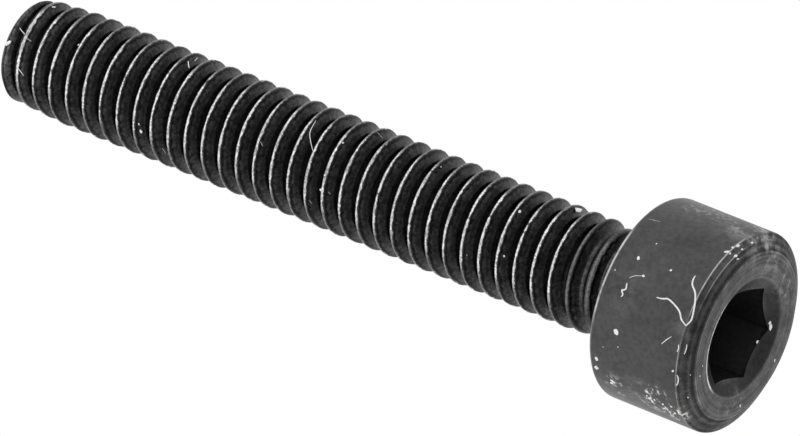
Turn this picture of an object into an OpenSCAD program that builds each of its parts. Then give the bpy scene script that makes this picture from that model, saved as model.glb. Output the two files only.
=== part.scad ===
// Socket head cap screw, M4 x 25, threaded to the head and standing on it.
// Millimetres. The socket face lies in z = 0 and the threaded point is at the top.

/* [Head] */
// Diameter of the plain head
head_d = 6.88; // [6.4:0.04:7.4]
// Height of the head, from the socket face to the bearing face
head_h = 3.83; // [3.5:0.01:4.5]
// Width of the chamfer round the socket face, seen square to the face
face_chamfer_w = 0.62; // [0.2:0.02:0.9]
// Height of that chamfer on the side of the head
face_chamfer_h = 0.36; // [0.2:0.02:0.7]
// Radius of the edge round the bearing face
bearing_edge_r = 0.2; // [0.05:0.01:0.3]

/* [Socket] */
// Width across the flats of the hexagon socket
socket_af = 3.06; // [2.5:0.02:3.4]
// Depth of the flats below the socket face
socket_depth = 2.1; // [1.6:0.1:2.4]
// Turn of the hexagon about the screw's axis
socket_turn = 0; // [0:1:60]
// Diameter of the countersink at the socket's mouth
mouth_d = 4.44; // [4:0.02:4.8]
// Full angle of that countersink
mouth_angle = 120; // [80:5:130]
// Full angle of the cone at the bottom of the socket
socket_end_angle = 120; // [110:5:150]

/* [Shank] */
// Length from the bearing face to the point
shank_len = 25.15; // [16:0.05:30]
// Fillet between the neck and the bearing face
neck_fillet_r = 0.3; // [0.2:0.05:0.35]
// Plain neck left between the bearing face and the first groove
neck_len = 0.45; // [0.4:0.05:1]

/* [Thread] */
// Nominal diameter of the thread
thread_d = 4; // [3.7:0.1:4.3]
// Pitch, the climb of one turn
pitch = 0.7; // [0.6:0.05:0.8]
// How much smaller than nominal the rolled crests are, on the diameter
crest_allowance = 0.13; // [0:0.01:0.16]
// How much smaller than nominal the pitch diameter is
flank_allowance = 0.045; // [0:0.005:0.09]
// Turns over which the groove deepens out of the neck
groove_turns = 0.7; // [0.3:0.1:1]
// Turns of groove before its crests begin to rise
crest_lag_turns = 0.9; // [0:0.1:1]
// Turns over which the crests then rise to full height
crest_turns = 1.4; // [0.5:0.1:2]
// Diameter of the end face, where the chamfer at the point starts
point_d = 3.44; // [3:0.02:3.6]
// Height of that chamfer
point_h = 0.25; // [0.15:0.05:0.9]
// Where the thread's start lies round the point
thread_turn = 177; // [0:1:359]
// Flat steps in one turn of the thread
facets = 30; // [24:1:32]

/* [Hidden] */
$fn = 96;
head_r = head_d / 2;
mouth_r = mouth_d / 2;
socket_corner_r = socket_af / 2 / cos(30);
point_z = head_h + shank_len;
thread_z = head_h + neck_len;

// The 60 degree thread: its flanks pass through the pitch diameter half a pitch apart
flank_slope = tan(30);
crest_r = (thread_d - crest_allowance) / 2;
pitch_r = (thread_d - 0.6495 * pitch - flank_allowance) / 2;
root_r = (thread_d - 1.2269 * pitch) / 2;
// A rolled thread starts on a blank of its pitch diameter, and the neck keeps that size
neck_r = pitch_r;
point_r = point_d / 2;

// Which node to draw

// Half section of the head, turned about the axis
module head_section() {
    difference() {
        union() {
            square([head_r - bearing_edge_r, head_h]);
            square([head_r, head_h - bearing_edge_r]);
            translate([head_r - bearing_edge_r, head_h - bearing_edge_r])
                circle(r = bearing_edge_r);
        }
        polygon([
            [head_r - face_chamfer_w, 0],
            [head_r - face_chamfer_w, -1],
            [head_r + 1, -1],
            [head_r + 1, face_chamfer_h],
            [head_r, face_chamfer_h]
        ]);
    }
}

module head() {
    color("#3a3b3d")
        rotate_extrude()
            head_section();
}

// Hexagon, countersunk at its mouth and closed by a shallow cone
module hex_socket() {
    past = 0.5;
    mouth_slope = tan(mouth_angle / 2);
    end_h = socket_af / 2 / tan(socket_end_angle / 2);
    color("#141415") {
        rotate([0, 0, socket_turn])
            translate([0, 0, -past])
                cylinder(r = socket_corner_r, h = socket_depth + past, $fn = 6);
        translate([0, 0, -past])
            cylinder(r1 = mouth_r + past * mouth_slope, r2 = 0, h = past + mouth_r / mouth_slope);
        translate([0, 0, socket_depth - 0.1])
            cylinder(r = socket_af / 2 - 0.02, h = 0.1);
        translate([0, 0, socket_depth])
            cylinder(r1 = socket_af / 2 - 0.02, r2 = 0, h = end_h);
    }
}

// Neck rings as [radius, height], from inside the head up its fillet
function neck_rings() = concat(
    [[neck_r + neck_fillet_r * 0.84, head_h - 0.3]],
    [for (a = [10:20:90])
        [neck_r + neck_fillet_r * (1 - sin(a)), head_h + neck_fillet_r * (1 - cos(a))]]
);

// Height of a crest's middle after so many turns, counted from below the thread
function crest_z(turns) = thread_z + pitch * (turns - 3 + thread_turn / 360);

// How far groove or crest has grown out of the plain neck: 0 there, 1 in the full thread.
// The groove comes first, and what it pushes out becomes the crest a turn later.
function grown(z, k) =
    let (lag = is_crest(k) ? crest_lag_turns : 0, turns = is_crest(k) ? crest_turns : groove_turns)
    min(1, max(0, ((z - thread_z) / pitch - lag) / turns));

// Four rows to a turn: lower and upper edge of the crest, then of the groove
function is_crest(k) = k % 4 < 2;
function middle_z(j, k) = crest_z(floor(k / 4) + j / facets) + (is_crest(k) ? 0 : pitch / 2);
function middle_r(z, k) = neck_r + ((is_crest(k) ? crest_r : root_r) - neck_r) * grown(z, k);

// Half width of a crest or groove at radius r: less height leaves it wider between the flanks
function half_flat(r, growth) =
    pitch / 4 * (0.9 + 0.1 * growth) - abs(r - pitch_r) * flank_slope;

function row_z(j, k) =
    let (z = middle_z(j, k), half = half_flat(middle_r(z, k), grown(z, k)))
    min(point_z, max(thread_z, z + (k % 2 == 0 ? -half : half)));

function chamfer_r(z) = point_r + (crest_r - point_r) * (point_z - z) / point_h;

// Radius of the full thread at any height, which is the outline of the end face
function section_r(j, z) =
    let (
        climb = (z - crest_z(j / facets)) / pitch,
        off = abs(climb - round(climb)) * pitch
    )
    max(root_r, min(crest_r, crest_r - (off - half_flat(crest_r, 1)) / flank_slope));

function row_r(j, k, z) =
    z <= thread_z ? neck_r
    : z >= point_z ? min(point_r, section_r(j, point_z))
    : min(middle_r(middle_z(j, k), k), chamfer_r(z));

function on_circle(r, j, z) = [r * cos(360 * j / facets), r * sin(360 * j / facets), z];

// Neck and thread are one closed surface, whose rows of corners climb with the angle
module threaded_shank() {
    rings = neck_rings();
    ring_count = len(rings);
    rows = 4 * ceil((point_z - thread_z) / pitch + 5);
    last = ring_count + rows - 1;
    end_middle = (last + 1) * facets;
    points = concat(
        [for (p = rings) for (j = [0:facets - 1]) on_circle(p[0], j, p[1])],
        [for (k = [0:rows - 1]) for (j = [0:facets - 1])
            let (z = row_z(j, k)) on_circle(row_r(j, k, z), j, z)],
        [[0, 0, point_z]]
    );
    // A full turn along a thread row ends four rows up, one pitch higher
    function at(j, row) =
        j < facets ? row * facets + j
        : row < ring_count ? row * facets
        : min(last, row + 4) * facets;
    function is_apart(j, row) = points[at(j, row)] != points[at(j, row + 1)];
    faces = concat(
        [[for (j = [0:facets - 1]) at(j, 0)]],
        [for (row = [0:last - 1]) for (j = [0:facets - 1]) each concat(
            is_apart(j + 1, row) ? [[at(j, row), at(j + 1, row + 1), at(j + 1, row)]] : [],
            is_apart(j, row) ? [[at(j, row), at(j, row + 1), at(j + 1, row + 1)]] : []
        )],
        [for (j = [0:facets - 1]) [at(j + 1, last), at(j, last), end_middle]]
    );
    color("#2b2c2e")
        polyhedron(points, faces, convexity = 10);
}

module cap_screw() {
    union() {
        difference() {
            head();
            hex_socket();
        }
        threaded_shank();
    }
}

cap_screw();
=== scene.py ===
import math
import random

import bmesh
import bpy
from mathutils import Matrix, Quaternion, Vector, noise


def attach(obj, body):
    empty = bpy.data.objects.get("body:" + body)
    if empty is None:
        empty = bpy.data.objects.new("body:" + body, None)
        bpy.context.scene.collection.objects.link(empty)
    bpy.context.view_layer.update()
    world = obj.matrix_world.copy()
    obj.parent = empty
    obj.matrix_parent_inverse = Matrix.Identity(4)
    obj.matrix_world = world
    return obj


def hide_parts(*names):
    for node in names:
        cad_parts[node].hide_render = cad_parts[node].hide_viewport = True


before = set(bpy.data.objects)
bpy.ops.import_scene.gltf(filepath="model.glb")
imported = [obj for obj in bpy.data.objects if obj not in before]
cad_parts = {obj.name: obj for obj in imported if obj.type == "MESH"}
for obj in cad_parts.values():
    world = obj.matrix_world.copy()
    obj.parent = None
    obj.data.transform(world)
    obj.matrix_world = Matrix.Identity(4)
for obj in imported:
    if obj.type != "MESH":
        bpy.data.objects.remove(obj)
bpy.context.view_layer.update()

# Everything is modelled in millimetres and brought to metres when its mesh is finished
mm = 0.001


def srgb(code):
    # a hex colour as it is seen on screen, turned to linear values
    parts = [int(code[i:i + 2], 16) / 255 for i in (1, 3, 5)]
    return [p / 12.92 if p <= 0.04045 else ((p + 0.055) / 1.055) ** 2.4 for p in parts] + [1.0]


def addNode(tree, kind, inputs=None, **settings):
    # an input, by name or number, takes a value, a node (its first output) or one of its outputs
    node = tree.nodes.new(kind)
    for key, value in settings.items():
        setattr(node, key, value)
    for key, value in (inputs or {}).items():
        if isinstance(value, bpy.types.Node):
            value = value.outputs[0]
        if isinstance(value, bpy.types.NodeSocket):
            tree.links.new(value, node.inputs[key])
        else:
            node.inputs[key].default_value = value
    return node


def emptyMaterial(name):
    material = bpy.data.materials.new(name)
    material.use_nodes = True
    material.node_tree.nodes.clear()
    return material


def around(angle, radius, height):
    # a place by its angle in degrees, its radius and its height
    turn = math.radians(angle)
    return Vector((radius * math.cos(turn), radius * math.sin(turn), height))


# The angle and the framing of the photograph, taken as 800 x 436; place in millimetres
camera = {
    "place": (-77.1567, -371.5667, -200.7278),
    "turn": (0.3871587, 0.7610692, 0.4081219, -0.3229835),
    "lens": 600.2108,
    "sensor": 36,
    "clip": (0.01, 10),     # metres
}


def makeCamera(spec):
    data = bpy.data.cameras.new("photoCamera")
    data.lens = spec["lens"]
    data.sensor_width = spec["sensor"]
    data.clip_start, data.clip_end = spec["clip"]
    view = bpy.data.objects.new("photoCamera", data)
    view.location = Vector(spec["place"]) * mm
    view.rotation_mode = "QUATERNION"
    view.rotation_quaternion = Quaternion(spec["turn"])
    bpy.context.scene.collection.objects.link(view)
    bpy.context.scene.camera = view


makeCamera(camera)
print("camera placed")

# The screw is one piece: head and socket are turned ring by ring, the thread is swept up its helix
head = {
    "radius": 3.44,
    "height": 3.83,
    "chamferWidth": 0.62,
    "chamferHeight": 0.36,
    "bearingEdge": 0.2,     # radius of the edge behind the head
    "fillet": 0.3,          # under the head
    "arcStep": 15,          # degrees between the rings of both
    "brokenEdge": 0.03,     # how far the sharp turned edges are rounded
    "segments": 192,        # a multiple of six, so that each socket corner has its own line
}
socket = {
    "acrossFlats": 3.06,
    "depth": 2.1,
    "floorGap": 0.02,       # between the flats and the cone at the bottom
    "endAngle": 120,        # of that cone
    "mouthRadius": 2.075,
    "mouthAngle": 120,
    "offCentre": (-0.10, -0.06),    # punched a little off the head's middle, as in the photograph
}
thread = {
    "top": 28.98,
    "start": 4.28,          # height where the first groove leaves the plain neck
    "pitch": 0.7,
    "crest": 1.935,
    "flank": 1.7502,        # radius at which flank and gap are equally wide
    "root": 1.5706,
    "crestRound": [(0.003, 0.024), (0.014, 0.044)],     # down and out from the top of a crest
    "crestDrop": 0.038,     # rolled crests are rounded, so that their corners lie this much lower
    "rootRound": 0.012,
    "rowGap": 0.05,         # on the radius, to the rows that keep the flanks straight
    "grooveRise": 0.49,     # height over which the groove deepens
    "crestStart": 4.91,     # the crests begin to rise a turn later
    "crestRise": 0.98,
    "turn": 177,            # degrees, where the start of the thread lies
    "steps": 96,            # in one turn
    "weld": 0.002,          # corners of two turns that are nearer than this are one
    "pointRadius": 1.72,
    "pointHeight": 0.25,
    "pointRings": (0, 0.25, 0.5, 0.75, 1),      # as shares of that height
    "deeper": 0.09,         # how much more than its nominal radius the rolled point has lost
    "taperStart": 26.8,     # from here up the crests are less and less filled
    "taper": 0.15,          # by this much on the radius at the top
    "dish": 0.05,           # hollow that rolling leaves in the end
    "dishRings": [(1.5, 0), (1.32, 0.6), (0.9, 1)],     # radius, and the share of the hollow there
    "ripple": 0.006,        # unevenness of the rolled crests
    "rippleBand": 0.03,     # how far down from the top it reaches
    "waves": (1.7, 6),      # of the ripple to a millimetre, long and short
}


def newCorners(made):
    return {g for g in made if isinstance(g, bmesh.types.BMVert)}


def growRing(bm, ring, place):
    # the next ring of the turned shape; place is (radius, height), or gives it for an angle
    made = bmesh.ops.extrude_edge_only(bm, edges=ring)["geom"]
    corners = newCorners(made)
    for v in corners:
        angle = math.atan2(v.co.y, v.co.x)
        r, z = place(angle) if callable(place) else place
        v.co = (r * math.cos(angle), r * math.sin(angle), z)
    return [g for g in made if isinstance(g, bmesh.types.BMEdge) and set(g.verts) <= corners]


def openRing(bm, height):
    return [e for e in bm.edges if e.is_boundary and abs(e.verts[0].co.z - height) < 1e-3
            and abs(e.verts[1].co.z - height) < 1e-3]


def turnSocket(bm):
    # from the tip of the cone at the bottom out to the edge of the countersink
    flat = socket["acrossFlats"] / 2
    mouthSlope = math.tan(math.radians(socket["mouthAngle"] / 2))
    floorRadius = flat - socket["floorGap"]

    def hexRadius(angle):
        away = math.radians(60) * math.floor(angle / math.radians(60)) + math.radians(30)
        return flat / math.cos(angle - away)

    def mouthEdge(angle):
        r = hexRadius(angle)
        return r, (socket["mouthRadius"] - r) / mouthSlope

    bmesh.ops.create_circle(bm, segments=head["segments"], radius=floorRadius, cap_ends=True, cap_tris=True)
    for v in bm.verts:
        v.co.z = socket["depth"]
        if v.co.xy.length < 0.01:       # the one in the middle
            v.co.z += floorRadius / math.tan(math.radians(socket["endAngle"] / 2))
    ring = openRing(bm, socket["depth"])
    ring = growRing(bm, ring, lambda angle: (hexRadius(angle), socket["depth"]))
    ring = growRing(bm, ring, mouthEdge)
    mouth = growRing(bm, ring, (socket["mouthRadius"], 0))
    bmesh.ops.translate(bm, vec=(*socket["offCentre"], 0), verts=bm.verts)
    return mouth


def turnHead(bm):
    # from the socket out over the face, up the side and in to the neck
    radius, height, fillet, bearing = head["radius"], head["height"], head["fillet"], head["bearingEdge"]
    mouth = turnSocket(bm)
    face = growRing(bm, mouth, (radius - head["chamferWidth"], 0))
    chamfer = growRing(bm, face, (radius, head["chamferHeight"]))
    ring = growRing(bm, chamfer, (radius, height - bearing))
    for degrees in range(head["arcStep"], 91, head["arcStep"]):
        lean = math.radians(degrees)
        ring = growRing(bm, ring, (radius - bearing + bearing * math.cos(lean),
                                   height - bearing * (1 - math.sin(lean))))
    for degrees in range(0, 91, head["arcStep"]):
        lean = math.radians(degrees)
        ring = growRing(bm, ring, (thread["flank"] + fillet * (1 - math.sin(lean)),
                                   height + fillet * (1 - math.cos(lean))))
    bmesh.ops.bevel(bm, geom=mouth + face + chamfer, offset=head["brokenEdge"], offset_type="OFFSET",
                    affect="EDGES", segments=2, profile=0.5, material=-1)


def threadOutline():
    # one pitch of the 60 degree thread, from groove to groove, as (radius, height)
    crest, flank, root, gap = thread["crest"], thread["flank"], thread["root"], thread["rowGap"]
    slope = math.tan(math.radians(30))
    quarter = thread["pitch"] / 4
    crestHalf = quarter - (crest - flank) * slope
    rootHalf = quarter - (flank - root) * slope
    groove = thread["pitch"] / 2
    half = [(crest, 0)]
    half += [(crest - down, out) for down, out in thread["crestRound"]]
    half += [
        (crest - thread["crestDrop"], crestHalf),
        (flank + gap, quarter - gap * slope),
        (flank - gap, quarter + gap * slope),
        (root + gap, groove - rootHalf - gap * slope),
        (root + thread["rootRound"], groove - rootHalf + thread["rootRound"]),
        (root, groove),
    ]
    return [(r, -z) for r, z in reversed(half[1:])] + half


def rolledRadius(corner):
    # the radius that rolling gave the thread at this corner of the regular one
    crest, flank, top = thread["crest"], thread["flank"], thread["top"]
    r, z = corner.xy.length, corner.z
    if r > crest - thread["rippleBand"]:
        longWave, shortWave = thread["waves"]
        ripple = noise.noise(corner * longWave) + 0.5 * noise.noise(corner * shortWave)
        r = min(r + thread["ripple"] * ripple, crest)
    if r > flank:
        grown = (z - thread["crestStart"]) / thread["crestRise"]
    else:
        grown = (z - thread["start"]) / thread["grooveRise"]
    r = flank + (r - flank) * min(1, max(0, grown))
    unfilled = max(0, (z - thread["taperStart"]) / (top - thread["taperStart"]))
    if r > flank:
        r -= (r - flank) * unfilled * thread["taper"] / (crest - flank)
    climb = (top - z) / thread["pointHeight"]
    return min(r, thread["pointRadius"] - thread["deeper"] + (crest - thread["pointRadius"]) * climb)


def cutAt(bm, level, **cleared):
    bmesh.ops.bisect_plane(bm, geom=bm.verts[:] + bm.edges[:] + bm.faces[:], dist=1e-4,
                           plane_co=(0, 0, level), plane_no=(0, 0, 1), **cleared)


def sweepThread(bm):
    pitch, steps, top, start = thread["pitch"], thread["steps"], thread["top"], thread["start"]
    bottom = start - pitch * (2 - thread["turn"] / 360)
    turns = math.ceil((top - pitch / 2 - bottom) / pitch) + 1
    corners = [bm.verts.new((r, 0, bottom + z)) for r, z in threadOutline()]
    edges = [bm.edges.new(pair) for pair in zip(corners, corners[1:])]
    bmesh.ops.spin(bm, geom=corners + edges, cent=(0, 0, 0), axis=(0, 0, 1), dvec=(0, 0, pitch / steps),
                   angle=math.tau, steps=steps, use_merge=False)
    oneTurn = bm.verts[:] + bm.edges[:] + bm.faces[:]
    for n in range(1, turns):
        copied = newCorners(bmesh.ops.duplicate(bm, geom=oneTurn)["geom"])
        bmesh.ops.translate(bm, vec=(0, 0, n * pitch), verts=list(copied))
    bmesh.ops.remove_doubles(bm, verts=bm.verts, dist=thread["weld"])
    # extra rings where the thread starts and along the chamfer at the point
    cutAt(bm, start)
    for share in thread["pointRings"]:
        cutAt(bm, top - thread["pointHeight"] + thread["pointHeight"] * share)
    for v in bm.verts:
        shrink = rolledRadius(v.co) / v.co.xy.length
        v.co.x *= shrink
        v.co.y *= shrink
    cutAt(bm, start, clear_inner=True)
    cutAt(bm, top, clear_outer=True)


def closePoint(bm):
    # the end face, with the shallow dish that a rolled point has
    ring = openRing(bm, thread["top"])
    for radius, share in thread["dishRings"]:
        ring = growRing(bm, ring, (radius, thread["top"] - share * thread["dish"]))
    bmesh.ops.edgeloop_fill(bm, edges=ring)


# Degrees between two faces from which the edge between them stays sharp
sharpFrom = 28


def finishMesh(bm, name, material):
    bmesh.ops.scale(bm, vec=(mm, mm, mm), verts=bm.verts)
    mesh = bpy.data.meshes.new(name)
    bm.to_mesh(mesh)
    bm.free()
    mesh.shade_smooth()
    mesh.set_sharp_from_angle(angle=math.radians(sharpFrom))
    mesh.materials.append(material)
    piece = bpy.data.objects.new(name, mesh)
    bpy.context.scene.collection.objects.link(piece)
    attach(piece, "root")
    print(name, "has", sum(len(p.vertices) - 2 for p in mesh.polygons), "triangles")
    return piece


# Black oxide on heat-treated steel: a thin magnetite skin, dark and half matt, that takes its
# tone from what it mirrors. Rolling polishes the crests and handling rubs them to bare steel,
# which is painted near white so that the crests and the turned edges also carry a painted
# highlight. Oil and dirt stay black in the grooves, and the roots and the sides of the thread
# get painted shade besides.
oxide = {
    "skin": "#515151",
    # bare steel, made near white so that it is also a painted highlight
    "bareAndHighlight": "#fafaf8",
    "roughness": 0.4,
    "bareRoughness": 0.32,
    # grains a millimetre: 14 is the skin's fine pitting, 6 its mottle, 1.8 and 0.7 are handling
    "grains": {"gritty": 14.0, "fine": 6.0, "patchy": 1.8, "cloudy": 0.7},
    "rings": 9.0,           # tool marks a millimetre on the face, where the real ones are half as wide
    "ringGrains": {"patchy": 0.9, "gritty": 0.5},       # what breaks them up
    "ringRelief": 1.5,      # how deep they are against the pitting
    "stripCount": 3,             # strips round the thread: along them the crests are rubbed bare with a painted highlight, off them the thread gets painted shade
    "stripAngle": 258.3,    # middle of one of these strips
    "crestPhase": 0.4242,   # height of a crest's middle at angle 0
    "crestBareAndLit": 0.050,     # half width of the bare line on it, which also carries a painted highlight, in pitches: 0.07 mm across
    "crestFade": 0.012,     # half width of the line's soft border
    "crestGrains": {"fine": 0.16, "patchy": 0.14},      # what makes it ragged, and wider here and there
    "litMouthAngle": 322,       # angle of the countersink's lit side, where painted light makes it as pale as the face
    "offThread": 0.94,      # tone of the skin everywhere but on the thread
    "wallPaintedLight": 0.6,       # painted light: how much lighter the walls of the socket are made
    # straight steps: what is measured, where the step starts and ends, and its two levels; the crests
    # that only begin to rise are wider, with more oil beside them, and their groove lacks the oil and
    # painted shade of the other roots
    "slopes": {
        "crestEdge": ("height", 5.1, 5.7, -0.13, -0.09),
        "oilWidth": ("height", 5.3, 5.8, 0.65, 1.0),
        "oilDepth": ("height", 5.3, 5.8, 2.4, 1.0),
        "rootTone": ("height", 5.8, 6.2, 1.0, 0.06),
    },
    # soft steps, given the same way
    "softSteps": {
        # parts of the screw
        "onHead": ("height", 4.6, 4.2, 0.0, 1.0),
        "onShank": ("height", 4.2, 4.6, 0.0, 1.0),
        "belowEnd": ("height", 28.925, 28.9, 0.0, 1.0),
        "onFace": ("height", 0.42, 0.36, 0.0, 1.0),
        "belowFace": ("height", 0.02, 0.05, 0.0, 1.0),
        "outOfMouth": ("fromSocket", 2.05, 2.09, 0.0, 1.0),
        "inMouth": ("fromSocket", 2.06, 2.03, 0.0, 1.0),
        "aboveHexagon": ("height", 0.38, 0.34, 0.0, 1.0),
        "inSocket": ("fromSocket", 1.80, 1.70, 0.0, 1.0),
        "deepInSocket": ("height", 0.2, 0.35, 0.0, 1.0),
        # where the steel is bare and carries a painted highlight
        "nearPoint": ("height", 27.9, 28.3, 0.0, 0.02),
        "crestRadius": ("radius", 1.75, 1.80, 0.0, 1.0),
        "fullCrest": ("height", 5.9, 6.25, 0.16, 1.0),
        "cutPoint": ("height", 28.55, 28.7, 1.0, 0.0),
        # the crest line, bare steel with a painted highlight, fades off the strips
        "rubbedAndLitStrip": ("strips", -1.0, -0.2, 0.22, 1.0),
        "patches": ("patchy", 0.3, 0.55, 0.5, 1.0),
        "beads": ("gritty", 0.38, 0.58, 0.5, 1.05),
        "edgeWearAndShine": ("patchy", 0.36, 0.56, 0.4, 1.0),
        "flakes": ("flaking", 1.03, 1.19, 0.0, 1.0),
        # oil and dirt on the thread, with painted shade in the roots and off the strips, and painted light on
        # the low flanks and the last lobe
        # oil and painted shade in the roots
        "groove": ("radius", 1.58, 1.65, "rootTone", 1.0),
        # oil and painted shade: the thread is darker off the strips
        "oilLightAndShade": ("strips", -1.0, 0.2, 0.46, 0.83),
        # painted light on the lower flanks
        "lowFlankLight": ("radius", 1.68, 1.84, 1.25, 1.0),
        # painted light on the last lobe at the point
        "lastLobe": ("height", 28.45, 28.7, 1.0, 1.6),
        "grimy": ("gritty", 0.3, 0.7, 0.7, 1.3),
        "spotty": ("fine", 0.38, 0.62, 0.78, 1.25),
        "crestFoot": ("pastCrest", -0.01, 0.015, 1.0, 0.25),
        "pastFoot": ("pastCrest", 0.045, 0.11, 1.0, 3.8),
        # tones of the skin
        "ringTone": ("rings", 0.26, 0.74, 0.6, 1.6),
        # painted light on the lit side of the countersink, painted shade on the rest
        "mouthLightAndShade": ("mouthLitSide", 0.6, 0.94, 0.7, 1.25),
        "cloudTone": ("cloudy", 0.3, 0.65, 0.9, 1.1),
        "fineTone": ("fine", 0.3, 0.65, 0.88, 1.12),
        "smeared": ("patchy", 0.4, 0.62, 0.0, 1.0),
        # what still shines where it is seen edge on
        "chamferShine": ("height", 0.02, 0.05, 1.0, 0.5),
        "sideShine": ("height", 0.33, 0.37, 0.0, 1.0),
        "pointShine": ("height", 28.66, 28.74, 1.0, 0.3),
    },
    # turned edges that are rubbed bare and painted with a highlight: radius, height and reach in millimetres,
    # how bare, the angle where it is barest, and how far it goes to either side
    "edges": [
        (3.40, 3.74, 0.10, 0.62, 262, 26),
        (3.40, 3.74, 0.07, 0.16, 130, 130),
        (head["radius"], head["chamferHeight"], 0.035, 0.42, 286, 26),
        (head["radius"], head["chamferHeight"], 0.03, 0.24, 190, 50),
        (3.21, 0.23, 0.03, 0.34, 288, 24),
        (head["radius"] - head["chamferWidth"], 0.0, 0.035, 0.22, 250, 60),
        (socket["mouthRadius"], 0.0, 0.055, 0.9, 232, 42),
        (socket["mouthRadius"], 0.0, 0.03, 0.07, 60, 90),
    ],
    "edgeCore": 0.4,        # share of the reach over which an edge is fully bare
    "edgeFade": 8,          # degrees over which it fades out at either side
    # scuffs: where in millimetres, how far they reach, and how bare they are
    "scuffs": [
        ((-3.25, -1.08, 1.3), 0.9, 0.85), ((-3.34, -0.75, 0.7), 0.7, 0.95), ((2.95, -1.6, 0.7), 1.2, 0.2),
        ((-3.3, -0.9, 2.9), 0.8, 0.3), ((-1.9, 1.6, 0.0), 0.8, 0.12), ((2.3, 0.9, 0.0), 1.0, 0.12),
        ((3.0, -1.6, 2.4), 1.3, 0.16),
    ],
    "scuffCore": 0.3,
    # smears that only lighten the skin: where, how far they reach, and by how much
    "smears": [
        ((-1.0, -3.29, 3.0), 1.1, 0.3), ((-3.3, -1.0, 1.6), 1.4, 0.8), ((2.7, -2.1, 0.6), 1.5, 0.7),
        ((2.6, -0.9, 0.0), 1.0, 0.5), ((3.1, -0.4, 0.1), 1.6, 0.5),
        ((-1.2, -3.25, 0.35), 0.7, 0.7), ((-0.1, -3.44, 2.6), 1.3, 0.25),
    ],
    "smearCore": 0.2,
}


def measurePlace(tree, spec):
    # by name, what the material measures at a point: where it is, in millimetres, and the grains there
    place = addNode(tree, "ShaderNodeTexCoord").outputs["Object"]
    inMm = addNode(tree, "ShaderNodeMapping", {"Vector": place, "Scale": (1 / mm, 1 / mm, 1 / mm)})
    split = addNode(tree, "ShaderNodeSeparateXYZ", {0: inMm}).outputs
    across = addNode(tree, "ShaderNodeVectorMath", {0: inMm, 1: (1, 1, 0)}, operation="MULTIPLY")
    radius = addNode(tree, "ShaderNodeVectorMath", {0: across}, operation="LENGTH")
    angle = addNode(tree, "ShaderNodeMath", {0: split["Y"], 1: split["X"]}, operation="ARCTAN2")
    fromSocket = addNode(tree, "ShaderNodeVectorMath", {0: across, 1: (*socket["offCentre"], 0)},
                         operation="DISTANCE")
    at = {"place": inMm, "height": split["Z"], "radius": radius.outputs["Value"], "angle": angle,
          "fromSocket": fromSocket.outputs["Value"]}
    for name, scale in spec["grains"].items():
        at[name] = addNode(tree, "ShaderNodeTexNoise", {"Vector": inMm, "Scale": scale, "Detail": 3.0,
                           "Roughness": 0.6})
    # flakes are broken up in two sizes
    at["flaking"] = addNode(tree, "ShaderNodeMath", {0: at["patchy"], 1: at["fine"]}, operation="ADD")
    return at


def addSteps(tree, at, steps, shape):
    # a level can also be the name of something measured
    for name, (measured, start, end, low, high) in steps.items():
        at[name] = addNode(tree, "ShaderNodeMapRange", {"Value": at[measured], "From Min": start,
                           "From Max": end, "To Min": at.get(low, low), "To Max": high},
                           interpolation_type=shape)


def roughen(tree, at, value, grains):
    # each grain moves the value up and down by half its amount
    for name, amount in grains.items():
        shift = addNode(tree, "ShaderNodeMath", {0: at[name], 1: amount, 2: -amount / 2},
                        operation="MULTIPLY_ADD")
        value = addNode(tree, "ShaderNodeMath", {0: value, 1: shift}, operation="ADD")
    return value


def facing(tree, at, degrees):
    # 1 on the side at this angle, and -1 on the opposite side
    turned = addNode(tree, "ShaderNodeMath", {0: at["angle"], 1: math.radians(degrees)}, operation="SUBTRACT")
    return addNode(tree, "ShaderNodeMath", {0: turned}, operation="COSINE")


def measureThread(tree, at, spec):
    # strips round the thread, to which the crests' painted highlight and the thread's painted shade are tied
    strips = addNode(tree, "ShaderNodeMath", {0: at["angle"], 1: spec["stripCount"],
                     2: -spec["stripCount"] * math.radians(spec["stripAngle"])}, operation="MULTIPLY_ADD")
    at["strips"] = addNode(tree, "ShaderNodeMath", {0: strips}, operation="COSINE")
    # how far a place is from the middle of the crest, in pitches
    turnsUp = addNode(tree, "ShaderNodeMath", {0: at["angle"], 1: -1 / math.tau,
                      2: -spec["crestPhase"] / thread["pitch"]}, operation="MULTIPLY_ADD")
    fromCrest = addNode(tree, "ShaderNodeMath", {0: at["height"], 1: 1 / thread["pitch"], 2: turnsUp},
                        operation="MULTIPLY_ADD")
    fromCrest = addNode(tree, "ShaderNodeMath", {0: fromCrest, 1: 0.5}, operation="PINGPONG")
    at["fromCrest"] = roughen(tree, at, fromCrest, spec["crestGrains"])
    # and how far past the crest's edge
    pastCrest = addNode(tree, "ShaderNodeMath", {0: at["fromCrest"], 1: at["crestEdge"]}, operation="ADD")
    at["pastCrest"] = addNode(tree, "ShaderNodeMath", {0: pastCrest, 1: at["oilWidth"]}, operation="MULTIPLY")


def measureFace(tree, at, spec):
    # tool marks from facing the head, and the lit side of the countersink for its painted light
    rings = addNode(tree, "ShaderNodeTexNoise", {"W": at["radius"], "Scale": spec["rings"], "Detail": 3.0},
                    noise_dimensions="1D")
    at["rings"] = roughen(tree, at, rings, spec["ringGrains"])
    at["mouthLitSide"] = facing(tree, at, spec["litMouthAngle"])


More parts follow.
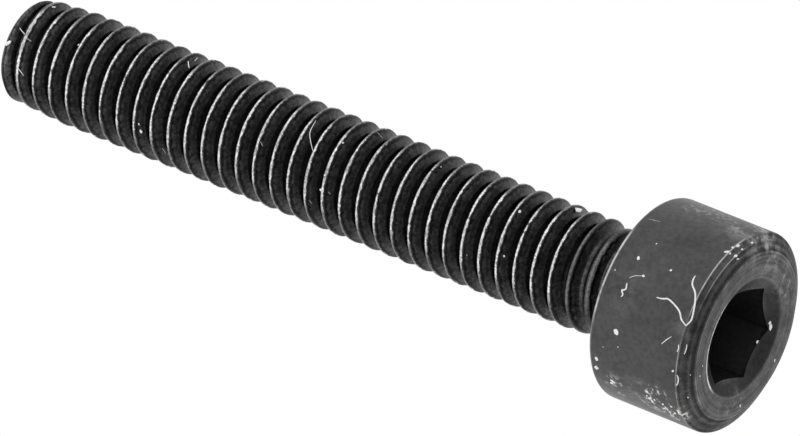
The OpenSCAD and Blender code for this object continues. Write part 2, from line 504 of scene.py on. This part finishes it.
def rubbedAndLitEdge(tree, at, spec, edge):
    # bare steel along a turned edge, which also carries a painted highlight on the side where it is barest
    radius, height, reach, amount, middle, spread = edge
    measured = at["fromSocket"] if radius == socket["mouthRadius"] else at["radius"]
    outward = addNode(tree, "ShaderNodeMath", {0: measured, 1: radius}, operation="SUBTRACT")
    upward = addNode(tree, "ShaderNodeMath", {0: at["height"], 1: height}, operation="SUBTRACT")
    apart = addNode(tree, "ShaderNodeCombineXYZ", {0: outward, 1: upward})
    apart = addNode(tree, "ShaderNodeVectorMath", {0: apart}, operation="LENGTH").outputs["Value"]
    rubbed = addNode(tree, "ShaderNodeMapRange", {"Value": apart, "From Min": reach,
                     "From Max": reach * spec["edgeCore"], "To Max": amount}, interpolation_type="SMOOTHSTEP")
    faded, full = spread + spec["edgeFade"], max(0, spread - spec["edgeFade"])
    faced = addNode(tree, "ShaderNodeMapRange", {"Value": facing(tree, at, middle),
                    "From Min": math.cos(math.radians(faded)), "From Max": math.cos(math.radians(full))},
                    interpolation_type="SMOOTHSTEP")
    for factor in (faced, at["edgeWearAndShine"]):
        rubbed = addNode(tree, "ShaderNodeMath", {0: rubbed, 1: factor}, operation="MULTIPLY")
    return rubbed


def softSpot(tree, at, spot, core):
    # the full amount up to the core, which is a share of the reach, and nothing past the reach
    where, reach, amount = spot
    away = addNode(tree, "ShaderNodeVectorMath", {0: at["place"], 1: where}, operation="DISTANCE")
    return addNode(tree, "ShaderNodeMapRange", {"Value": away.outputs["Value"], "From Min": reach,
                   "From Max": reach * core, "To Max": amount}, interpolation_type="SMOOTHSTEP")


def bareSteelAndHighlight(tree, at, spec):
    # a line along each crest, rubbed edges, and scuffs on the head; the crest line and the edges also carry a
    # painted highlight
    nearer = addNode(tree, "ShaderNodeMath", {0: at["fromCrest"], 1: at["nearPoint"]}, operation="SUBTRACT")
    half, fade = spec["crestBareAndLit"], spec["crestFade"]
    bareAndHighlight = addNode(tree, "ShaderNodeMapRange", {"Value": nearer, "From Min": half + fade,
                   "From Max": half - fade}, interpolation_type="SMOOTHSTEP")
    for name in ("onThread", "crestRadius", "fullCrest", "cutPoint", "rubbedAndLitStrip", "patches", "beads"):
        bareAndHighlight = addNode(tree, "ShaderNodeMath", {0: bareAndHighlight, 1: at[name]}, operation="MULTIPLY")
    worn = [rubbedAndLitEdge(tree, at, spec, edge) for edge in spec["edges"]]
    for spot in spec["scuffs"]:
        scuff = softSpot(tree, at, spot, spec["scuffCore"])
        for name in ("flakes", "onHead"):
            scuff = addNode(tree, "ShaderNodeMath", {0: scuff, 1: at[name]}, operation="MULTIPLY")
        worn.append(scuff)
    for part in worn:
        bareAndHighlight = addNode(tree, "ShaderNodeMath", {0: bareAndHighlight, 1: part}, operation="MAXIMUM")
    return bareAndHighlight


def skinTone(tree, at, spec):
    # rings on the face only
    ringed = addNode(tree, "ShaderNodeMix", {0: at["turnedFace"], 2: 1.0, 3: at["ringTone"]},
                     data_type="FLOAT")
    # oil and dirt in the grooves, with painted shade in the roots and off the strips, and painted light on
    # the low flanks and the last lobe
    oilLightAndShade = addNode(tree, "ShaderNodeMath", {0: at["crestFoot"], 1: at["pastFoot"]}, operation="MULTIPLY")
    oilLightAndShade = addNode(tree, "ShaderNodeMath", {0: oilLightAndShade, 1: at["oilDepth"]}, operation="POWER")
    for name in ("groove", "oilLightAndShade", "lowFlankLight", "lastLobe", "grimy", "spotty"):
        oilLightAndShade = addNode(tree, "ShaderNodeMath", {0: oilLightAndShade, 1: at[name]}, operation="MULTIPLY")
    oilLightAndShade = addNode(tree, "ShaderNodeMix", {0: at["onThread"], 2: spec["offThread"], 3: oilLightAndShade},
                    data_type="FLOAT")
    # the walls of the socket, lightened with painted light
    walls = addNode(tree, "ShaderNodeMath", {0: at["inSocket"], 1: at["deepInSocket"]}, operation="MULTIPLY")
    walls = addNode(tree, "ShaderNodeMath", {0: walls, 1: at["onHead"]}, operation="MULTIPLY")
    walls = addNode(tree, "ShaderNodeMath", {0: walls, 1: spec["wallPaintedLight"], 2: 1.0},
                    operation="MULTIPLY_ADD")
    # the countersink, with painted light on its lit side and painted shade on the rest
    countersinkLightAndShade = addNode(tree, "ShaderNodeMath", {0: at["inMouth"], 1: at["belowFace"]}, operation="MULTIPLY")
    countersinkLightAndShade = addNode(tree, "ShaderNodeMath", {0: countersinkLightAndShade, 1: at["aboveHexagon"]}, operation="MULTIPLY")
    countersinkLightAndShade = addNode(tree, "ShaderNodeMix", {0: countersinkLightAndShade, 2: 1.0, 3: at["mouthLightAndShade"]}, data_type="FLOAT")
    factors = [at["fineTone"], ringed, oilLightAndShade, walls, countersinkLightAndShade]
    for spot in spec["smears"]:
        smear = softSpot(tree, at, spot, spec["smearCore"])
        factors.append(addNode(tree, "ShaderNodeMath", {0: smear, 1: at["smeared"], 2: 1.0},
                               operation="MULTIPLY_ADD"))
    tone = at["cloudTone"]
    for factor in factors:
        tone = addNode(tree, "ShaderNodeMath", {0: tone, 1: factor}, operation="MULTIPLY")
    return tone


def shineOnEdge(tree, at):
    # the share of the edge-on shine that is left: half on the chamfer, less at the point and in the roots,
    # where there is oil and painted shade
    shine = addNode(tree, "ShaderNodeMath", {0: at["chamferShine"], 1: at["sideShine"]}, operation="MAXIMUM")
    for name in ("groove", "pointShine"):
        inThread = addNode(tree, "ShaderNodeMix", {0: at["onThread"], 2: 1.0, 3: at[name]}, data_type="FLOAT")
        shine = addNode(tree, "ShaderNodeMath", {0: shine, 1: inThread}, operation="MULTIPLY")
    return shine


def skinRelief(tree, at, spec):
    # 0.01 mm deep: tool marks on the face, and fine pitting all over
    relief = addNode(tree, "ShaderNodeMath", {0: at["turnedFace"], 1: at["rings"]}, operation="MULTIPLY")
    relief = addNode(tree, "ShaderNodeMath", {0: relief, 1: spec["ringRelief"], 2: at["gritty"]},
                     operation="MULTIPLY_ADD")
    return addNode(tree, "ShaderNodeBump", {"Height": relief, "Strength": 0.5, "Distance": 0.01 * mm})


def makeOxide(spec):
    material = emptyMaterial("blackOxideSteel")
    tree = material.node_tree
    at = measurePlace(tree, spec)
    addSteps(tree, at, spec["slopes"], "LINEAR")
    measureThread(tree, at, spec)
    measureFace(tree, at, spec)
    addSteps(tree, at, spec["softSteps"], "SMOOTHSTEP")
    for name, one, other in (("onThread", "onShank", "belowEnd"), ("turnedFace", "onFace", "outOfMouth")):
        at[name] = addNode(tree, "ShaderNodeMath", {0: at[one], 1: at[other]}, operation="MULTIPLY")
    bareAndHighlight = bareSteelAndHighlight(tree, at, spec)
    skin = addNode(tree, "ShaderNodeMix", {0: 1.0, 6: srgb(spec["skin"]), 7: skinTone(tree, at, spec)},
                   data_type="RGBA", blend_type="MULTIPLY")
    # bare steel with its painted highlight over the skin
    colour = addNode(tree, "ShaderNodeMix", {0: bareAndHighlight, 6: skin.outputs[2], 7: srgb(spec["bareAndHighlight"])},
                     data_type="RGBA")
    rough = addNode(tree, "ShaderNodeMapRange", {"Value": bareAndHighlight, "To Min": spec["roughness"],
                    "To Max": spec["bareRoughness"]})
    shader = addNode(tree, "ShaderNodeBsdfPrincipled", {"Base Color": colour.outputs[2], "Metallic": 1.0,
                     "Roughness": rough, "Specular Tint": shineOnEdge(tree, at),
                     "Normal": skinRelief(tree, at, spec)})
    addNode(tree, "ShaderNodeOutputMaterial", {"Surface": shader})
    return material


def makeScrew(material):
    bm = bmesh.new()
    sweepThread(bm)
    closePoint(bm)
    turned = bmesh.new()
    turnHead(turned)
    scratch = bpy.data.meshes.new("turned")
    turned.to_mesh(scratch)
    turned.free()
    bm.from_mesh(scratch)
    bpy.data.meshes.remove(scratch)
    neck = openRing(bm, thread["start"]) + openRing(bm, head["height"] + head["fillet"])
    bmesh.ops.bridge_loops(bm, edges=neck)
    bmesh.ops.recalc_face_normals(bm, faces=bm.faces)
    print("open edges left in the screw:", sum(e.is_boundary for e in bm.edges))
    screw = finishMesh(bm, "capScrew", material)
    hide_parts("cap_screw")


makeScrew(makeOxide(oxide))

# Lint that lies on the head and in the thread: fine pale fibres
lint = {
    "colour": "#ffffff",
    "shade": "#dededc",
    "specks": 9,            # of that shade to a millimetre
    "lift": 0.6,            # share of its radius by which a fibre stands off the head
    "tips": 0.55,           # thickness of its ends, as a share of the rest
    "weld": 0.0005,
    # each fibre: its radius, and (angle, height) points on the head's side and chamfer
    "onHead": [
        (0.028, [(259.6, 1.70), (259.9, 1.46), (261.4, 1.32), (259.9, 1.04), (257.3, 0.72), (253.9, 0.60),
                 (252.6, 0.48), (251.4, 0.35)]),
        (0.029, [(251.4, 0.35), (253.6, 0.31), (255.6, 0.29), (259.4, 0.31), (264.5, 0.35), (270.1, 0.50),
                 (272.6, 0.73), (276.1, 0.81), (278.2, 0.80)]),
        (0.026, [(260.8, 2.90), (259.7, 2.88), (257.6, 2.84), (256.7, 2.91), (256.4, 2.98), (255.2, 2.93),
                 (254.1, 2.86), (252.9, 2.92)]),
        (0.010, [(263.8, 2.90), (265.2, 2.82), (266.3, 2.72), (267.6, 2.47)]),
        (0.016, [(237.1, 1.04), (239.6, 0.92), (241.0, 0.86), (243.0, 0.74)]),
        (0.006, [(300.8, 3.52), (301.3, 3.35), (301.9, 3.14)]),
        (0.022, [(240.3, 0.42), (238.9, 0.36), (236.3, 0.41)]),
        (0.022, [(241.1, 0.24), (238.6, 0.22), (235.2, 0.25)]),
        (0.028, [(222.6, 0.33), (218.7, 0.28), (215.9, 0.34)]),
    ],
    # the same on the thread, as (angle, height, radius) points
    "onThread": [
        (0.016, [(274.2, 28.66, 1.76), (270.9, 28.43, 1.84), (268.9, 28.27, 1.90)]),
        (0.012, [(266.0, 28.14, 1.90), (265.3, 27.98, 1.82)]),
        (0.018, [(236.0, 28.17, 1.91), (230.9, 28.02, 1.84), (227.5, 27.92, 1.80)]),
        (0.026, [(305.3, 22.30, 1.84), (309.0, 22.42, 1.86), (313.0, 22.52, 1.88)]),
        (0.022, [(330.3, 22.55, 1.84), (322.0, 22.46, 1.82)]),
        (0.016, [(301.2, 17.01, 1.89), (289.0, 16.96, 1.86), (281.1, 16.86, 1.76), (268.0, 16.38, 1.94)]),
        (0.012, [(200.3, 22.30, 1.70), (190.6, 22.27, 1.68)]),
        (0.013, [(257.2, 18.34, 1.92), (254.1, 18.27, 1.82)]),
        (0.013, [(234.3, 15.42, 1.79), (231.8, 15.37, 1.72)]),
        (0.008, [(217.4, 16.13, 1.85), (212.6, 16.07, 1.78)]),
        (0.010, [(319.6, 14.95, 1.90), (322.1, 14.89, 1.79), (326.3, 14.84, 1.69)]),
    ],
}


def onSide(angle, height, lift=0.0):
    # on the head's side, or on the chamfer where the height is less than the chamfer's
    below = max(0, head["chamferHeight"] - height) / head["chamferHeight"]
    return around(angle, head["radius"] - head["chamferWidth"] * below + lift, height)


def makeCotton(spec):
    # White cotton or paper fibre: matt and pale against the black
    material = emptyMaterial("cottonLint")
    tree = material.node_tree
    place = addNode(tree, "ShaderNodeTexCoord").outputs["Object"]
    speckle = addNode(tree, "ShaderNodeTexNoise", {"Vector": place, "Scale": spec["specks"] / mm,
                      "Detail": 1.0})
    fade = addNode(tree, "ShaderNodeMix", {0: speckle, 6: srgb(spec["shade"]), 7: srgb(spec["colour"])},
                   data_type="RGBA")
    shader = addNode(tree, "ShaderNodeBsdfPrincipled", {"Base Color": fade.outputs[2], "Roughness": 0.9})
    addNode(tree, "ShaderNodeOutputMaterial", {"Surface": shader})
    return material


def layFibres(spec):
    # every fibre as its radius and its points
    fibres = [(radius, [onSide(angle, height, radius * spec["lift"]) for angle, height in path])
              for radius, path in spec["onHead"]]
    fibres += [(radius, [around(angle, r, height) for angle, height, r in path])
               for radius, path in spec["onThread"]]
    return fibres


def makeLint(spec, material):
    curve = bpy.data.curves.new("lint", "CURVE")
    curve.dimensions = "3D"
    curve.bevel_depth = 1
    curve.bevel_resolution = 1
    curve.use_fill_caps = True
    for radius, path in layFibres(spec):
        spline = curve.splines.new("NURBS")
        spline.points.add(len(path) - 1)
        spline.use_endpoint_u = True
        spline.order_u = 3
        spline.resolution_u = 6
        for point, place in zip(spline.points, path):
            point.co = (*place, 1)
            point.radius = radius
        for end in (0, -1):
            spline.points[end].radius = radius * spec["tips"]
    holder = bpy.data.objects.new("lintCurve", curve)
    bpy.context.scene.collection.objects.link(holder)
    bpy.context.view_layer.update()
    made = bpy.data.meshes.new_from_object(holder.evaluated_get(bpy.context.evaluated_depsgraph_get()))
    bpy.data.objects.remove(holder)
    bm = bmesh.new()
    bm.from_mesh(made)
    bpy.data.meshes.remove(made)
    bmesh.ops.remove_doubles(bm, verts=bm.verts, dist=spec["weld"])
    bmesh.ops.recalc_face_normals(bm, faces=bm.faces)
    finishMesh(bm, "lintFibres", material)


cotton = makeCotton(lint)
makeLint(lint, cotton)

# Dust and chips: small pale grains
dust = {
    # as (angle, height, size) on the side of the head and its chamfer
    "side": [
        (287.4, 2.68, 0.03), (275.6, 2.94, 0.07), (276.1, 1.69, 0.05), (233.7, 2.77, 0.105),
        (212.4, 3.47, 0.08), (205.7, 3.52, 0.085), (199.2, 2.94, 0.09), (197.0, 3.04, 0.07),
        (267.6, 2.47, 0.05), (224.4, 0.48, 0.05), (299.5, 0.43, 0.08), (304.2, 0.39, 0.05),
        (307.6, 0.34, 0.085), (302.4, 0.24, 0.085), (309.4, 0.25, 0.05), (300.2, 0.33, 0.05),
        (303.0, 0.17, 0.055), (319.4, 0.25, 0.07), (204.1, 0.17, 0.045), (220.7, 0.10, 0.03),
        (264.9, 3.50, 0.025), (225.5, 2.64, 0.022), (221.9, 3.21, 0.022), (196.5, 1.02, 0.05),
        (197.6, 1.33, 0.045), (192.0, 0.62, 0.06), (190.0, 0.72, 0.04), (198.6, 1.62, 0.04),
    ],
    # as (angle, radius, height, size) on the face, in the countersink and on the thread
    "elsewhere": [
        (87.2, 2.48, 0.0, 0.055), (135.3, 2.58, 0.0, 0.05), (216.0, 2.59, 0.0, 0.035),
        (223.0, 2.45, 0.0, 0.03), (54.0, 1.69, 0.18, 0.10), (59.0, 1.73, 0.16, 0.125),
        (80.0, 1.48, 0.32, 0.07), (253.4, 1.80, 28.84, 0.08), (255.2, 1.84, 28.75, 0.08),
        (316.4, 1.83, 28.17, 0.055), (291.2, 1.86, 8.58, 0.07), (333.0, 1.84, 7.18, 0.15),
        (329.0, 1.84, 7.08, 0.12), (241.5, 1.82, 8.39, 0.04), (280.3, 1.86, 26.27, 0.04),
        (274.0, 1.82, 24.67, 0.045), (216.3, 1.78, 23.07, 0.07), (225.3, 1.82, 23.12, 0.04),
        (235.2, 1.94, 15.63, 0.05), (250.7, 1.94, 15.62, 0.035), (287.8, 1.91, 15.59, 0.035),
        (307.7, 1.85, 12.11, 0.03), (226.5, 1.79, 9.82, 0.025),
    ],
    # more of them, spread over the sides that the photograph doesn't show
    "loose": 26,
    "looseAngles": (20, 160),
    "looseHeights": (0.6, 3.4),
    "looseSizes": (0.02, 0.06),
    "stretch": (0.7, 1.3),
    "uneven": 0.4,          # by how much the corners of a grain differ
    "flatness": 0.35,
    "seed": 7,
}


def addGrain(bm, spec, chance, place, outward, size):
    grain = bmesh.ops.create_icosphere(bm, subdivisions=1, radius=size)["verts"]
    across = outward.orthogonal().normalized()
    along = outward.cross(across)
    stretch = chance.uniform(*spec["stretch"])
    for v in grain:
        x, y, z = v.co * (1 - spec["uneven"] / 2 + spec["uneven"] * chance.random())
        v.co = place + across * x * stretch + along * y / stretch + outward * z * spec["flatness"]


def awayFromAxis(place):
    return Vector((place.x, place.y, 0)).normalized()


def makeDust(spec, material):
    chance = random.Random(spec["seed"])
    bm = bmesh.new()
    for angle, height, size in spec["side"]:
        place = onSide(angle, height)
        addGrain(bm, spec, chance, place, awayFromAxis(place), size)
    for angle, radius, height, size in spec["elsewhere"]:
        place = around(angle, radius, height)
        outward = Vector((0, 0, -1)) if height < head["height"] else awayFromAxis(place)
        addGrain(bm, spec, chance, place, outward, size)
    for _ in range(spec["loose"]):
        place = onSide(chance.uniform(*spec["looseAngles"]), chance.uniform(*spec["looseHeights"]))
        addGrain(bm, spec, chance, place, awayFromAxis(place), chance.uniform(*spec["looseSizes"]))
    bmesh.ops.recalc_face_normals(bm, faces=bm.faces)
    finishMesh(bm, "dustSpecks", material)


makeDust(dust, cotton)

# A white floor under the screw and a white tent of light round it
studio = {
    "floorHalf": 2000,      # millimetres
    "floorDrop": 0.1,       # below the head, so that the two don't touch
    "paper": "#fafafa",
    "worldFill": 0.8,       # how strongly the tent lights what isn't mirrored
    # the tent is open below, so it mirrors darker there: the height of the look, as a unit vector,
    # where it is darkest and from where it is full, and how bright the darkest is
    "openBelow": (-1.0, -0.55, 0.34),
    "aim": (0, 0, 12),      # where the lamps point, in millimetres
    # lamps by name, place in millimetres, size in metres and watts
    "lamps": [
        ("keyLamp", (-260, -260, 160), 0.25, 0.30),
        ("fillLamp", (280, -200, 60), 0.3, 0.18),
        ("topLamp", (0, 60, 380), 0.3, 0.5),
    ],
}


def makePaper(spec):
    # White paper; seen from above only, so that the camera can look up at the socket
    material = emptyMaterial("whitePaper")
    tree = material.node_tree
    under = addNode(tree, "ShaderNodeNewGeometry").outputs["Backfacing"]
    paper = addNode(tree, "ShaderNodeBsdfPrincipled", {"Base Color": srgb(spec["paper"]), "Roughness": 0.9,
                    "Specular IOR Level": 0.0})
    clear = addNode(tree, "ShaderNodeBsdfTransparent")
    both = addNode(tree, "ShaderNodeMixShader", {0: under, 1: paper, 2: clear})
    addNode(tree, "ShaderNodeOutputMaterial", {"Surface": both})
    return material


def makeFloor(spec):
    bm = bmesh.new()
    bmesh.ops.create_grid(bm, x_segments=4, y_segments=4, size=spec["floorHalf"])
    bmesh.ops.translate(bm, vec=(0, 0, -spec["floorDrop"]), verts=bm.verts)
    bmesh.ops.scale(bm, vec=(mm, mm, mm), verts=bm.verts)
    mesh = bpy.data.meshes.new("floor")
    bm.to_mesh(mesh)
    bm.free()
    mesh.materials.append(makePaper(spec))
    floor = bpy.data.objects.new("floor", mesh)
    bpy.context.scene.collection.objects.link(floor)
    floor.visible_diffuse = False
    floor.visible_glossy = False
    floor.visible_transmission = False
    floor.visible_shadow = False


def makeTent(spec):
    world = bpy.data.worlds.new("softTent")
    world.use_nodes = True
    tree = world.node_tree
    tree.nodes.clear()
    path = addNode(tree, "ShaderNodeLightPath").outputs
    mirrored = addNode(tree, "ShaderNodeMath", {0: path["Is Glossy Ray"], 1: path["Is Transmission Ray"]},
                       operation="MAXIMUM")
    seen = addNode(tree, "ShaderNodeMath", {0: path["Is Camera Ray"], 1: mirrored}, operation="MAXIMUM")
    way = addNode(tree, "ShaderNodeTexCoord").outputs["Generated"]
    way = addNode(tree, "ShaderNodeSeparateXYZ", {0: way}).outputs["Z"]
    start, end, dark = spec["openBelow"]
    openBelow = addNode(tree, "ShaderNodeMapRange", {"Value": way, "From Min": start, "From Max": end,
                        "To Min": dark, "To Max": 1.0}, interpolation_type="SMOOTHSTEP")
    tent = addNode(tree, "ShaderNodeMix", {0: mirrored, 2: 1.0, 3: openBelow}, data_type="FLOAT")
    level = addNode(tree, "ShaderNodeMix", {0: seen, 2: spec["worldFill"], 3: tent}, data_type="FLOAT")
    sky = addNode(tree, "ShaderNodeBackground", {"Color": (1, 1, 1, 1), "Strength": level})
    addNode(tree, "ShaderNodeOutputWorld", {"Surface": sky})
    bpy.context.scene.world = world


def makeLamps(spec):
    for name, place, size, watts in spec["lamps"]:
        data = bpy.data.lights.new(name, "AREA")
        data.shape = "DISK"
        data.size = size
        data.energy = watts
        lamp = bpy.data.objects.new(name, data)
        lamp.location = Vector(place) * mm
        ahead = Vector(spec["aim"]) * mm - lamp.location
        lamp.rotation_euler = ahead.to_track_quat("-Z", "Y").to_euler()
        lamp.visible_camera = False
        lamp.visible_glossy = False
        bpy.context.scene.collection.objects.link(lamp)


makeFloor(studio)
makeTent(studio)
makeLamps(studio)
bpy.context.scene.view_settings.view_transform = "Standard"
print("floor and light placed")
